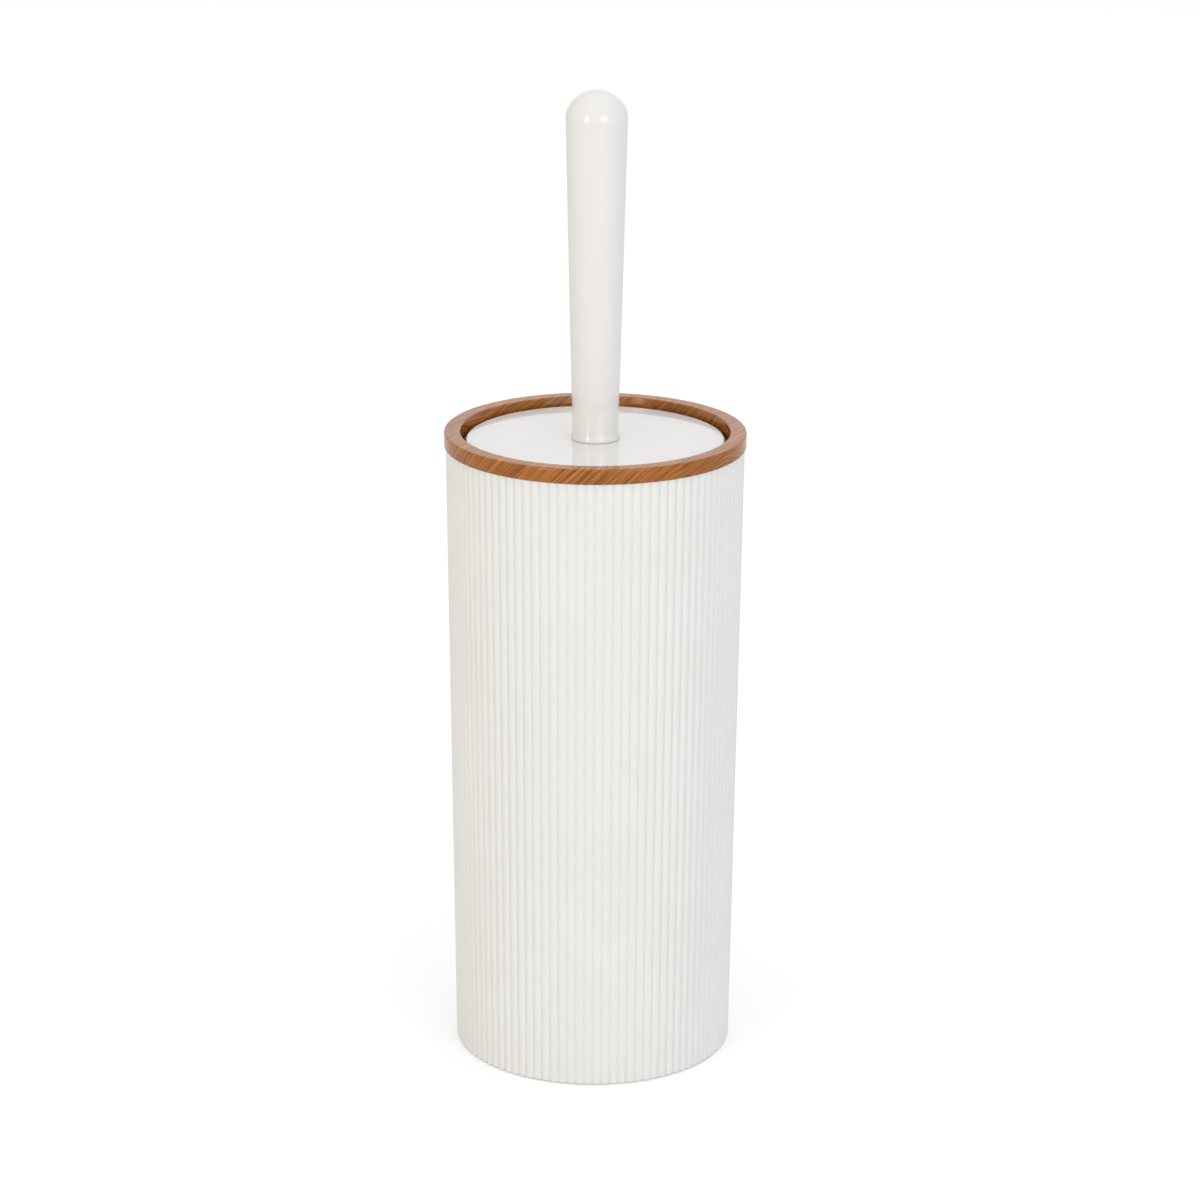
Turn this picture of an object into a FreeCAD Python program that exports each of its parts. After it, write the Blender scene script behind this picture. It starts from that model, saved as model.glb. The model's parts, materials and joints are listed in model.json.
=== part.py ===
"""Toilet brush and holder: a ribbed tapering shell with a wooden rim, a lift-out drip cup, a lid and a brush.

Millimetres, +Z up. The origin is on the surface that the holder stands on, at the centre of its base.
Each sub-part is written to parts/NODE.step.
"""

import FreeCAD
import Part
import math
import os

# ---------------------------------------------------------------- driving dimensions
TOTAL_HEIGHT = 360.7
RING_RADIUS = 55.0
RING_TOP = 236.5
RING_HEIGHT = 5.5
RING_WIDTH = 6.0

SHELL_FOOT_RADIUS = 51.65
SHELL_TOP_RADIUS = 54.4
RIB_COUNT = 100
RIB_HEIGHT = 0.7
SHELL_WALL = 2.1
SHELL_FLOOR = 2.5

PAD_COUNT = 4
PAD_RADIUS = 6.0
PAD_THICKNESS = 1.8
PAD_SEAT_DEPTH = 1.5
PAD_CIRCLE_RADIUS = 40.0

COLLAR_RADIUS = 51.2
COLLAR_DEPTH = 14.0
COLLAR_WALL = 1.6
COLLAR_LEDGE_RADIUS = 45.0
COLLAR_LEDGE_DROP = 0.6
COLLAR_LEDGE_THICKNESS = 1.8
COLLAR_UPSTAND = 2.2
COLLAR_UPSTAND_WALL = 1.0

CUP_FLANGE_RADIUS = 48.3
CUP_FLANGE_THICKNESS = 1.2
CUP_TOP_RADIUS = 44.3
CUP_FOOT_RADIUS = 41.6
CUP_WALL = 1.3
CUP_FOOT_HEIGHT = 9.0
CUP_FLOOR = 1.8

LID_RADIUS = 47.15
LID_THICKNESS = 1.8
LID_BOSS_RADIUS = 9.6
LID_BOSS_DEPTH = 4.6
LID_SKIRT_RADIUS = 42.5
LID_SKIRT_WALL = 1.4
LID_SKIRT_DEPTH = 7.6
LID_WEB_COUNT = 8
LID_WEB_THICKNESS = 1.2
LID_WEB_DEPTH = 3.2

HANDLE_FLANGE_RADIUS = 8.95
HANDLE_FLANGE_EDGE = 1.1
HANDLE_FLANGE_HEIGHT = 2.4
HANDLE_NECK_RADIUS = 8.4
HANDLE_TOP_RADIUS = 11.1
HANDLE_DOME_HEIGHT = 10.4
HANDLE_SHOULDER = 9.6
HANDLE_WALL = 2.0
INSERT_RADIUS = 6.25
INSERT_LENGTH = 25.0

JOURNAL_RADIUS = 6.2
JOURNAL_CLEARANCE = 0.05
SPIGOT_RADIUS = 4.5
SPIGOT_LENGTH = 23.0
SHOULDER_RADIUS = 9.0
SHOULDER_THICKNESS = 2.5
STEM_CORE_RADIUS = 3.4
STEM_FIN_RADIUS = 5.8
STEM_FIN_THICKNESS = 1.8
STEM_COLLAR_RADIUS = 6.6
STEM_COLLAR_HEIGHT = 3.0
HEAD_SPIGOT_RADIUS = 4.0
HEAD_SPIGOT_LENGTH = 22.0

HEAD_TOP = 104.0
HEAD_RADIUS = 13.0
HEAD_NECK_RADIUS = 7.6
HEAD_NECK_HEIGHT = 5.0
HEAD_FLARE_HEIGHT = 7.0
HEAD_DOME_CENTRE = 40.0
BRISTLE_REACH = 36.0
BRISTLE_TIP_REACH = 26.0
TUFT_ROOT_RADIUS = 1.45
TUFT_TIP_RADIUS = 3.1
TUFT_HOLE_DEPTH = 4.4
ANCHOR_HEIGHT = 0.8
ANCHOR_WIDTH = 2.2
ANCHOR_THICKNESS = 0.4
ROW_COUNT = 6
ROW_PITCH = 8.0
TUFTS_PER_ROW = 16
DOME_ROWS = ((18.0, 16), (38.0, 12), (60.0, 8), (90.0, 1))  # tilt below level in degrees, tufts

RUNNING_GAP = 0.1  # between faces that turn on each other
SEAT_GAP = 0.05  # between a spigot and its socket

# ---------------------------------------------------------------- heights worked out from them
SHELL_FOOT = PAD_THICKNESS - PAD_SEAT_DEPTH
SHELL_TOP = RING_TOP - RING_HEIGHT
LEDGE_TOP = SHELL_TOP - COLLAR_LEDGE_DROP
CUP_RIM = LEDGE_TOP + CUP_FLANGE_THICKNESS
LID_TOP = CUP_RIM + LID_THICKNESS
LID_BOSS_FOOT = CUP_RIM - LID_BOSS_DEPTH
HANDLE_FOOT = LID_TOP + RUNNING_GAP
JOURNAL_TOP = HANDLE_FOOT + 0.4
SHOULDER_TOP = LID_BOSS_FOOT - RUNNING_GAP


# ---------------------------------------------------------------- helpers
def point(r, z):
    return FreeCAD.Vector(r, 0, z)


def corner(before, here, after, radius):
    """The arc that rounds one corner of an outline, as its start, middle and end."""
    to_before = (before - here).normalize()
    to_after = (after - here).normalize()
    half = to_before.getAngle(to_after) / 2
    inward = (to_before + to_after).normalize()
    centre = here + inward * (radius / math.sin(half))
    reach = radius / math.tan(half)
    return here + to_before * reach, centre - inward * radius, here + to_after * reach


def outline(corners):
    """A closed face in the XZ plane through (r, z) or (r, z, rounding) corners."""
    places = [point(c[0], c[1]) for c in corners]
    roundings = [c[2] if len(c) > 2 else 0 for c in corners]
    stretches = []
    for i, here in enumerate(places):
        if roundings[i]:
            stretches.append(corner(places[i - 1], here, places[(i + 1) % len(places)], roundings[i]))
        else:
            stretches.append((here, None, here))
    edges = []
    for i, (start, middle, end) in enumerate(stretches):
        if middle is not None:
            edges.append(Part.Arc(start, middle, end).toShape())
        following = stretches[(i + 1) % len(stretches)][0]
        if end.distanceToPoint(following) > 1e-6:
            edges.append(Part.LineSegment(end, following).toShape())
    return Part.Face(Part.Wire(edges))


def turned(face):
    """The solid that a face in the XZ plane sweeps round the Z axis."""
    return face.revolve(FreeCAD.Vector(0, 0, 0), FreeCAD.Vector(0, 0, 1), 360)


def lathe(corners):
    return turned(outline(corners))


def rod(radius, foot, top):
    return Part.makeCylinder(radius, top - foot, FreeCAD.Vector(0, 0, foot))


def spaced(count, start=0.0):
    """Angles in degrees, evenly spaced round the Z axis."""
    return [start + 360.0 * i / count for i in range(count)]


def round_z(shape, degrees):
    copy = shape.copy()
    copy.rotate(FreeCAD.Vector(0, 0, 0), FreeCAD.Vector(0, 0, 1), degrees)
    return copy


def between(foot_value, top_value, foot, top, z):
    """A size that grows evenly from foot to top, at height z."""
    return foot_value + (top_value - foot_value) * (z - foot) / (top - foot)


# ---------------------------------------------------------------- holder
def shell_radius(z):
    """Radius over the crests of the ribs."""
    return between(SHELL_FOOT_RADIUS, SHELL_TOP_RADIUS, SHELL_FOOT, SHELL_TOP, z)


def shell_bore(z):
    return shell_radius(z) - RIB_HEIGHT - SHELL_WALL


def rib_ring(z):
    """One turn of the ribs at height z: an arc over each rib, with a groove facing the front."""
    crest = shell_radius(z)
    groove = crest - RIB_HEIGHT
    step = 2 * math.pi / RIB_COUNT

    def at(radius, steps):
        angle = steps * step - math.pi / 2
        return FreeCAD.Vector(radius * math.cos(angle), radius * math.sin(angle), z)

    arcs = [Part.Arc(at(groove, i), at(crest, i + 0.5), at(groove, i + 1)) for i in range(RIB_COUNT)]
    return Part.Wire([arc.toShape() for arc in arcs])


def ribbed_shell():
    outside = Part.makeLoft([rib_ring(SHELL_FOOT), rib_ring(SHELL_TOP)], True, True)
    floor_top = SHELL_FOOT + SHELL_FLOOR
    inside = lathe([
        (0, floor_top),
        (shell_bore(floor_top), floor_top, 3.0),
        (shell_bore(SHELL_TOP + 1), SHELL_TOP + 1),
        (0, SHELL_TOP + 1),
    ])
    underside_recess = rod(30.0, SHELL_FOOT - 1, SHELL_FOOT + 0.7)
    shell = outside.cut(inside).cut(underside_recess)
    for angle in spaced(PAD_COUNT, 45.0):
        seat = rod(PAD_RADIUS + SEAT_GAP, SHELL_FOOT - 1, PAD_THICKNESS)
        seat.translate(FreeCAD.Vector(PAD_CIRCLE_RADIUS, 0, 0))
        shell = shell.cut(round_z(seat, angle))
    return shell


def foot_pads():
    """Foam pads that stand a little proud of the shell's underside."""
    pad = lathe([(0, 0), (PAD_RADIUS, 0, 0.3), (PAD_RADIUS, PAD_THICKNESS), (0, PAD_THICKNESS)])
    pad.translate(FreeCAD.Vector(PAD_CIRCLE_RADIUS, 0, 0))
    return [round_z(pad, angle) for angle in spaced(PAD_COUNT, 45.0)]


def rim_collar():
    """Pressed into the shell: its ledge carries the drip cup, and its upstand holds the wooden ring."""
    foot = SHELL_TOP - COLLAR_DEPTH
    bore = COLLAR_RADIUS - COLLAR_WALL
    step = CUP_FLANGE_RADIUS + 0.5
    upstand_bore = COLLAR_RADIUS - COLLAR_UPSTAND_WALL
    upstand_top = SHELL_TOP + COLLAR_UPSTAND
    ledge_foot = LEDGE_TOP - COLLAR_LEDGE_THICKNESS
    return lathe([
        (bore, foot),
        (COLLAR_RADIUS, foot, 0.5),
        (COLLAR_RADIUS, upstand_top, 0.3),
        (upstand_bore, upstand_top, 0.3),
        (upstand_bore, SHELL_TOP),
        (step, SHELL_TOP),
        (step, LEDGE_TOP),
        (COLLAR_LEDGE_RADIUS, LEDGE_TOP, 0.4),
        (COLLAR_LEDGE_RADIUS, ledge_foot, 0.4),
        (bore, ledge_foot, 0.8),
    ])


def wood_ring():
    """Glued over the collar's upstand. It hides the shell's rim and stands a little proud of the ribs."""
    bore = RING_RADIUS - RING_WIDTH
    groove_in = COLLAR_RADIUS - COLLAR_UPSTAND_WALL - 0.1
    groove_out = COLLAR_RADIUS + 0.2
    groove_top = SHELL_TOP + COLLAR_UPSTAND + 0.2
    return lathe([
        (bore, SHELL_TOP, 0.25),
        (groove_in, SHELL_TOP),
        (groove_in, groove_top),
        (groove_out, groove_top),
        (groove_out, SHELL_TOP),
        (RING_RADIUS, SHELL_TOP, 0.35),
        (RING_RADIUS, RING_TOP, 0.5),
        (bore, RING_TOP, 0.5),
    ])


# ---------------------------------------------------------------- drip cup
def drip_cup():
    """Hangs by its flange on the collar's ledge, clear of the shell's floor, and lifts out for emptying."""

    def bore(z):
        return between(CUP_FOOT_RADIUS, CUP_TOP_RADIUS, CUP_FOOT_HEIGHT, LEDGE_TOP, z) - CUP_WALL

    floor_top = CUP_FOOT_HEIGHT + CUP_FLOOR
    return lathe([
        (0, CUP_FOOT_HEIGHT),
        (CUP_FOOT_RADIUS, CUP_FOOT_HEIGHT, 4.5),
        (CUP_TOP_RADIUS, LEDGE_TOP, 0.3),
        (CUP_FLANGE_RADIUS, LEDGE_TOP, 0.3),
        (CUP_FLANGE_RADIUS, CUP_RIM, 0.3),
        (bore(CUP_RIM), CUP_RIM, 0.5),
        (bore(floor_top), floor_top, 3.2),
        (0, floor_top),
    ])


# ---------------------------------------------------------------- lid
def lid():
    """A flat disc held loosely on the stem, with a boss, a locating skirt and webs under it."""
    hole = JOURNAL_RADIUS + JOURNAL_CLEARANCE
    skirt_foot = CUP_RIM - LID_SKIRT_DEPTH
    skirt_bore = LID_SKIRT_RADIUS - LID_SKIRT_WALL
    disc = lathe([
        (hole, LID_BOSS_FOOT),
        (LID_BOSS_RADIUS, LID_BOSS_FOOT, 0.4),
        (LID_BOSS_RADIUS, CUP_RIM, 0.6),
        (skirt_bore, CUP_RIM, 0.6),
        (skirt_bore, skirt_foot),
        (LID_SKIRT_RADIUS, skirt_foot, 0.4),
        (LID_SKIRT_RADIUS, CUP_RIM),
        (LID_RADIUS, CUP_RIM, 0.3),
        (LID_RADIUS, LID_TOP, 0.7),
        (hole, LID_TOP),
    ])
    web_start = LID_BOSS_RADIUS - 0.5
    web = Part.makeBox(
        skirt_bore + 0.5 - web_start,
        LID_WEB_THICKNESS,
        LID_WEB_DEPTH + 0.5,
        FreeCAD.Vector(web_start, -LID_WEB_THICKNESS / 2, CUP_RIM - LID_WEB_DEPTH),
    )
    return disc.fuse([round_z(web, angle) for angle in spaced(LID_WEB_COUNT)]).removeSplitter()


# ---------------------------------------------------------------- brush
def on_circle(centre_r, centre_z, radius, angle):
    return point(centre_r + radius * math.cos(angle), centre_z + radius * math.sin(angle))


def arc_edge(centre_r, centre_z, radius, start, end):
    angles = (start, (start + end) / 2, end)
    return Part.Arc(*[on_circle(centre_r, centre_z, radius, angle) for angle in angles]).toShape()


def dome_edges(radius, height, shoulder, foot, growth):
    """A shoulder arc, then a flatter crown arc up to the axis. Below foot, the side grows outwards by growth."""
    shoulder_r = radius - shoulder
    crown = (height**2 + shoulder_r**2 - shoulder**2) / (2 * (height - shoulder))
    turn = math.atan2(crown - height, shoulder_r)
    return [
        arc_edge(shoulder_r, foot, shoulder, -math.atan(growth), turn),
        arc_edge(0, foot + height - crown, crown, turn, math.pi / 2),
    ]


def domed(corners, radius, height, shoulder, foot, growth):
    """The solid whose side runs up through the (r, z) corners and then over a dome."""
    dome = dome_edges(radius, height, shoulder, foot, growth)
    dome_start = on_circle(radius - shoulder, foot, shoulder, -math.atan(growth))
    places = [point(r, z) for r, z in corners] + [dome_start]
    edges = [Part.LineSegment(a, b).toShape() for a, b in zip(places, places[1:])]
    edges += dome
    edges.append(Part.LineSegment(point(0, foot + height), places[0]).toShape())
    return turned(Part.Face(Part.Wire(edges)))


def handle():
    """A hollow grip that widens towards its domed top, with a small flange that sits on the lid."""
    flange_top = HANDLE_FOOT + HANDLE_FLANGE_HEIGHT
    dome_foot = TOTAL_HEIGHT - HANDLE_DOME_HEIGHT
    growth = (HANDLE_TOP_RADIUS - HANDLE_NECK_RADIUS) / (dome_foot - flange_top)
    grip = domed(
        [(0, HANDLE_FOOT), (HANDLE_NECK_RADIUS, HANDLE_FOOT), (HANDLE_NECK_RADIUS, flange_top)],
        HANDLE_TOP_RADIUS, HANDLE_DOME_HEIGHT, HANDLE_SHOULDER, dome_foot, growth,
    )
    flange = lathe([
        (0, HANDLE_FOOT),
        (HANDLE_FLANGE_RADIUS, HANDLE_FOOT, 0.3),
        (HANDLE_FLANGE_RADIUS, HANDLE_FOOT + HANDLE_FLANGE_EDGE, 0.3),
        (HANDLE_NECK_RADIUS - 0.1, flange_top),
        (0, flange_top),
    ])
    bore = INSERT_RADIUS + SEAT_GAP
    seat_top = HANDLE_FOOT + 26.0
    chamber_foot = seat_top + 2.0
    chamber_radius = between(HANDLE_NECK_RADIUS, HANDLE_TOP_RADIUS, flange_top, dome_foot, chamber_foot)
    chamber = domed(
        [(0, HANDLE_FOOT - 1), (bore, HANDLE_FOOT - 1), (bore, seat_top),
         (chamber_radius - HANDLE_WALL, chamber_foot)],
        HANDLE_TOP_RADIUS - HANDLE_WALL, HANDLE_DOME_HEIGHT - HANDLE_WALL, HANDLE_SHOULDER - HANDLE_WALL,
        dome_foot, growth,
    )
    return grip.fuse(flange).removeSplitter().cut(chamber)


def handle_insert():
    """The bush in the handle's neck that grips the stem's upper spigot."""
    foot = JOURNAL_TOP + RUNNING_GAP
    bore = SPIGOT_RADIUS + SEAT_GAP
    return lathe([
        (bore, foot, 0.3),
        (INSERT_RADIUS, foot, 0.4),
        (INSERT_RADIUS, foot + INSERT_LENGTH, 0.4),
        (bore, foot + INSERT_LENGTH, 0.3),
    ])


def stem():
    """Moulded rod of cross section, with a journal that runs in the lid and a spigot at each end."""
    shoulder_foot = SHOULDER_TOP - SHOULDER_THICKNESS
    collar_top = HEAD_TOP + STEM_COLLAR_HEIGHT
    body = lathe([
        (0, HEAD_TOP - HEAD_SPIGOT_LENGTH),
        (HEAD_SPIGOT_RADIUS, HEAD_TOP - HEAD_SPIGOT_LENGTH, 0.6),
        (HEAD_SPIGOT_RADIUS, HEAD_TOP),
        (STEM_COLLAR_RADIUS, HEAD_TOP, 0.3),
        (STEM_COLLAR_RADIUS, collar_top, 0.8),
        (STEM_CORE_RADIUS, collar_top),
        (STEM_CORE_RADIUS, shoulder_foot),
        (SHOULDER_RADIUS, shoulder_foot, 0.8),
        (SHOULDER_RADIUS, SHOULDER_TOP, 0.3),
        (JOURNAL_RADIUS, SHOULDER_TOP),
        (JOURNAL_RADIUS, JOURNAL_TOP, 0.3),
        (SPIGOT_RADIUS, JOURNAL_TOP),
        (SPIGOT_RADIUS, JOURNAL_TOP + SPIGOT_LENGTH, 0.8),
        (0, JOURNAL_TOP + SPIGOT_LENGTH),
    ])
    fin_foot = collar_top - 0.5
    fin_height = shoulder_foot + 0.5 - fin_foot
    fins = [
        Part.makeBox(
            2 * STEM_FIN_RADIUS, STEM_FIN_THICKNESS, fin_height,
            FreeCAD.Vector(-STEM_FIN_RADIUS, -STEM_FIN_THICKNESS / 2, fin_foot),
        ),
        Part.makeBox(
            STEM_FIN_THICKNESS, 2 * STEM_FIN_RADIUS, fin_height,
            FreeCAD.Vector(-STEM_FIN_THICKNESS / 2, -STEM_FIN_RADIUS, fin_foot),
        ),
    ]
    return body.fuse(fins).removeSplitter()


def tuft_places():
    """Each row of tufts as a list of (mouth of its hole, direction outwards, reach from the row's centre)."""
    top_row = HEAD_DOME_CENTRE + 4.0 + ROW_PITCH * (ROW_COUNT - 1)
    rows = [(top_row - ROW_PITCH * i, 0.0, TUFTS_PER_ROW) for i in range(ROW_COUNT)]
    rows += [(HEAD_DOME_CENTRE, tilt, count) for tilt, count in DOME_ROWS]
    places = []
    for number, (height, tilt, count) in enumerate(rows):
        down = math.radians(tilt)
        reach = BRISTLE_REACH - (BRISTLE_REACH - BRISTLE_TIP_REACH) * math.sin(down) ** 2
        stagger = 180.0 / count if number % 2 else 0.0
        row = []
        for degrees in spaced(count, stagger):
            turn = math.radians(degrees)
            outwards = FreeCAD.Vector(
                math.cos(turn) * math.cos(down), math.sin(turn) * math.cos(down), -math.sin(down)
            )
            row.append((FreeCAD.Vector(0, 0, height), outwards, reach))
        places.append(row)
    return places


def tuft(centre, outwards, reach):
    """A bundle of bristles: held in its hole, and spreading to its trimmed end."""
    root = HEAD_RADIUS - TUFT_HOLE_DEPTH + ANCHOR_HEIGHT + 0.1
    mouth = HEAD_RADIUS + 0.3
    held = Part.makeCylinder(TUFT_ROOT_RADIUS - SEAT_GAP, mouth - root, centre + outwards * root, outwards)
    spread = Part.makeCone(
        TUFT_ROOT_RADIUS - SEAT_GAP, TUFT_TIP_RADIUS, reach - mouth, centre + outwards * mouth, outwards
    )
    return held.fuse(spread)


def anchor(centre, outwards):
    """The flat wire staple that pins a tuft's fold at the bottom of its hole."""
    staple = Part.makeBox(
        ANCHOR_THICKNESS, ANCHOR_WIDTH, ANCHOR_HEIGHT,
        FreeCAD.Vector(-ANCHOR_THICKNESS / 2, -ANCHOR_WIDTH / 2, 0),
    )
    staple.Placement = FreeCAD.Placement(
        centre + outwards * (HEAD_RADIUS - TUFT_HOLE_DEPTH + 0.05),
        FreeCAD.Rotation(FreeCAD.Vector(0, 0, 1), outwards),
    )
    return staple


def brush_head(places):
    """The moulded core: a socket for the stem, a barrel with a round end, and a hole for every tuft."""
    barrel_top = HEAD_TOP - HEAD_NECK_HEIGHT - HEAD_FLARE_HEIGHT
    barrel = lathe([
        (0, HEAD_DOME_CENTRE),
        (HEAD_RADIUS, HEAD_DOME_CENTRE),
        (HEAD_RADIUS, barrel_top, 3.0),
        (HEAD_NECK_RADIUS, HEAD_TOP - HEAD_NECK_HEIGHT, 3.0),
        (HEAD_NECK_RADIUS, HEAD_TOP, 0.5),
        (0, HEAD_TOP),
    ])
    end = Part.makeSphere(HEAD_RADIUS, FreeCAD.Vector(0, 0, HEAD_DOME_CENTRE))
    socket = rod(HEAD_SPIGOT_RADIUS + SEAT_GAP, HEAD_TOP - HEAD_SPIGOT_LENGTH - 1.0, HEAD_TOP + 1.0)
    holes = [
        Part.makeCylinder(
            TUFT_ROOT_RADIUS, TUFT_HOLE_DEPTH + 1.0,
            centre + outwards * (HEAD_RADIUS - TUFT_HOLE_DEPTH), outwards,
        )
        for row in places for centre, outwards, _ in row
    ]
    return barrel.fuse(end).removeSplitter().cut(socket).cut(holes)


def main():
    places = tuft_places()
    nodes = {
        "ribbed_shell": ribbed_shell(),
        "rim_collar": rim_collar(),
        "wood_ring": wood_ring(),
        "drip_cup": drip_cup(),
        "lid": lid(),
        "handle": handle(),
        "handle_insert": handle_insert(),
        "stem": stem(),
        "brush_head": brush_head(places),
        "tuft_anchors": Part.makeCompound([anchor(c, o) for row in places for c, o, _ in row]),
    }
    for number, pad in enumerate(foot_pads(), 1):
        nodes[f"foot_pad_{number}"] = pad
    for number, row in enumerate(places, 1):
        nodes[f"bristle_row_{number}"] = Part.makeCompound([tuft(*place) for place in row])
    os.makedirs("parts", exist_ok=True)
    for name, shape in nodes.items():
        shape.exportStep(f"parts/{name}.step")
        solids = shape.Solids
        print(f"{name}: {len(solids)} solids, {sum(s.Volume for s in solids):.1f} mm3, valid {shape.isValid()}")


main()
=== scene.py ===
"""The looks of a toilet brush and its holder: a ribbed shell with a wooden rim, a cup, a lid and a brush.

Metres, +Z up, with the front towards -Y. Every piece is built in place round the Z axis.
"""

import json
import math
import random

import bmesh
import bpy
from mathutils import Matrix, Quaternion, Vector


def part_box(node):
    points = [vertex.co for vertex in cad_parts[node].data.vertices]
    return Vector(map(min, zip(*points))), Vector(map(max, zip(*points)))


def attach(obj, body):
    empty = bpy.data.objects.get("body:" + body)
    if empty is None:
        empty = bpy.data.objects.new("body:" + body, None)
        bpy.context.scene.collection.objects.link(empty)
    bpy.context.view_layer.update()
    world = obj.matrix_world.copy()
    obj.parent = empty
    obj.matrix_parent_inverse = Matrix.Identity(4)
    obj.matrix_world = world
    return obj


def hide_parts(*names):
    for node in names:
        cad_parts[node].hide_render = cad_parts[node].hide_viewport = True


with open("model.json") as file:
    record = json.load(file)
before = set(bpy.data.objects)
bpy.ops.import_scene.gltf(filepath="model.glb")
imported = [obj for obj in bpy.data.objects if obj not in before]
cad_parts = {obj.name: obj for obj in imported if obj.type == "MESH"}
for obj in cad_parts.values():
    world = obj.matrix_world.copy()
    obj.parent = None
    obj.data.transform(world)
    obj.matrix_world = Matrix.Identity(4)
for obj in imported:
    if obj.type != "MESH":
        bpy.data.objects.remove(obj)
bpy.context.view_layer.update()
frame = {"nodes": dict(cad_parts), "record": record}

MM = 0.001

# ---------------------------------------------------------------- heights, from the frame
SHELL_FOOT, SHELL_TOP = (corner.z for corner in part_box("ribbed_shell"))
COLLAR_FOOT, COLLAR_TOP = (corner.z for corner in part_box("rim_collar"))
RING_FOOT, RING_TOP = (corner.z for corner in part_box("wood_ring"))
CUP_FOOT, CUP_RIM = (corner.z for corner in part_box("drip_cup"))
LID_SKIRT_FOOT, LID_TOP = (corner.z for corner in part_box("lid"))
HANDLE_FOOT, HANDLE_TOP = (corner.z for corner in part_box("handle"))
PAD_FOOT, PAD_TOP = (corner.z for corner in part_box("foot_pad_1"))

# ---------------------------------------------------------------- driving sizes
SIDES = 256  # round pieces
RIB_COUNT = 100
RIB_SEGMENTS = 12
RIB_HEIGHT = 0.7 * MM
SHELL_FOOT_RADIUS = 51.65 * MM
SHELL_TOP_RADIUS = 54.4 * MM
SHELL_WALL = 2.1 * MM
SHELL_FLOOR = 2.5 * MM
SHELL_INNER_ROUND = 3.0 * MM  # where the wall meets the floor
SHELL_STANDING_RIM = 3.0 * MM  # from the outline in to the flat underside
SHELL_RECESS_RADIUS = 30.0 * MM
SHELL_RECESS_DEPTH = 0.7 * MM
PAD_RADIUS = 6.0 * MM
PAD_CIRCLE_RADIUS = 40.0 * MM

RING_RADIUS = 55.0 * MM
RING_BORE = 49.0 * MM
COLLAR_RADIUS = 51.2 * MM
COLLAR_WALL = 1.6 * MM
COLLAR_LEDGE_RADIUS = 45.0 * MM
COLLAR_LEDGE_THICKNESS = 1.8 * MM
UPSTAND_WALL = 1.0 * MM
CUP_SEAT_CLEARANCE = 0.5 * MM

CUP_FLANGE_RADIUS = 48.3 * MM
CUP_FLANGE_THICKNESS = 1.2 * MM
CUP_TOP_RADIUS = 44.3 * MM
CUP_FOOT_RADIUS = 41.6 * MM
CUP_WALL = 1.3 * MM
CUP_FLOOR = 1.8 * MM

LID_RADIUS = 47.15 * MM
LID_THICKNESS = 1.8 * MM
LID_HOLE = 6.25 * MM
LID_BOSS_RADIUS = 9.6 * MM
LID_BOSS_DEPTH = 4.6 * MM
LID_SKIRT_RADIUS = 42.5 * MM
LID_SKIRT_WALL = 1.4 * MM
LID_WEB_COUNT = 8
LID_WEB_THICKNESS = 1.2 * MM
LID_WEB_DEPTH = 3.2 * MM
LID_WEB_BITE = 0.4 * MM  # how far a web runs into what it joins

FLANGE_RADIUS = 8.95 * MM
FLANGE_EDGE = 1.1 * MM
FLANGE_HEIGHT = 2.4 * MM
NECK_RADIUS = 8.4 * MM
GRIP_RADIUS = 11.1 * MM
DOME_HEIGHT = 10.4 * MM
GRIP_WALL = 2.0 * MM
GRIP_BORE = 6.3 * MM
GRIP_SEAT_DEPTH = 26.0 * MM
GRIP_SHOULDER = 2.0 * MM  # from the insert's seat to the hollow above it

HEAD_RADIUS = 13.0 * MM
HEAD_DOME_CENTRE = 40.0 * MM
BRISTLE_REACH = 36.0 * MM
BRISTLE_TIP_REACH = 26.0 * MM
BRISTLE_RADIUS = 0.17 * MM
BRISTLE_BOW = 1.2 * MM
BRISTLE_STRAY = 0.2 * MM  # how unevenly the tips are trimmed
BRISTLES_PER_TUFT = 40
TUFT_ROOT_DEPTH = 3.0 * MM  # inside the head
TUFT_PATTERNS = 3  # different tufts in each row
TUFT_ROOT_RADIUS = 1.3 * MM
TUFT_TIP_RADIUS = 3.0 * MM
LEVEL_ROWS = 6
TUFTS_PER_ROW = 16
DOME_ROWS = ((18.0, 16), (38.0, 12), (60.0, 8), (90.0, 1))  # tilt below level in degrees, tufts


def between(foot_value, top_value, foot, top, z):
    """A size that grows evenly from foot to top, at height z."""
    return foot_value + (top_value - foot_value) * (z - foot) / (top - foot)


# ---------------------------------------------------------------- modelling by hand
def start_piece():
    """Nothing is selected, so that the next operator acts on the next piece only."""
    bpy.ops.object.select_all(action="DESELECT")


def edit(piece):
    bpy.context.view_layer.objects.active = piece
    bpy.ops.object.mode_set(mode="EDIT")


def leave_edit():
    bpy.ops.object.mode_set(mode="OBJECT")


def select_edges(piece, wanted):
    """Selects the edges whose two ends are both wanted."""
    bpy.ops.mesh.select_mode(type="EDGE")
    bpy.ops.mesh.select_all(action="DESELECT")
    mesh = bmesh.from_edit_mesh(piece.data)
    for edge in mesh.edges:
        if all(wanted(vertex.co) for vertex in edge.verts):
            edge.select_set(True)
    bmesh.update_edit_mesh(piece.data)


def select_level(piece, z, near=0.01 * MM):
    select_edges(piece, lambda place: abs(place.z - z) < near)


def select_ring(piece, radius, z, near=0.02 * MM):
    """Selects one turn of a round piece."""
    select_edges(piece, lambda place: abs(place.z - z) < near and abs(place.xy.length - radius) < near)


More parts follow.
